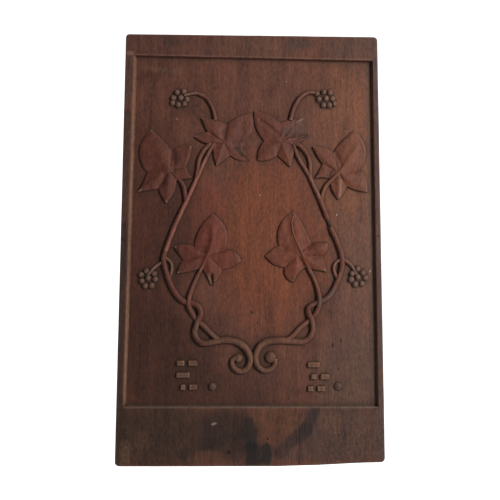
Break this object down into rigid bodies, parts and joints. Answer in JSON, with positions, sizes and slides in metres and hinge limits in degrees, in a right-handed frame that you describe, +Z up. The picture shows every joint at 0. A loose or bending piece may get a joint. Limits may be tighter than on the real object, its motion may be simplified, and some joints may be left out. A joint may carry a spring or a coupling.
{
  "type": "wall plaque",
  "caption": "Upright rectangular wooden wall plaque with a raised border, a sunk field and ivy leaves, berries and twining stems carved in relief.",
  "frame": {"origin": "centre of the flat back, on the wall plane", "axes": "+Z up the board, +X to the right as seen from the room, +Y into the wall, so the carving faces -Y"},
  "size_m": [0.25, 0.02, 0.415],
  "materials": {
    "dark_wood": "old wax polish, worn and dusty"
  },
  "bodies": {
    "root": {"carved_panel": "dark_wood"}
  },
  "joints": []
}
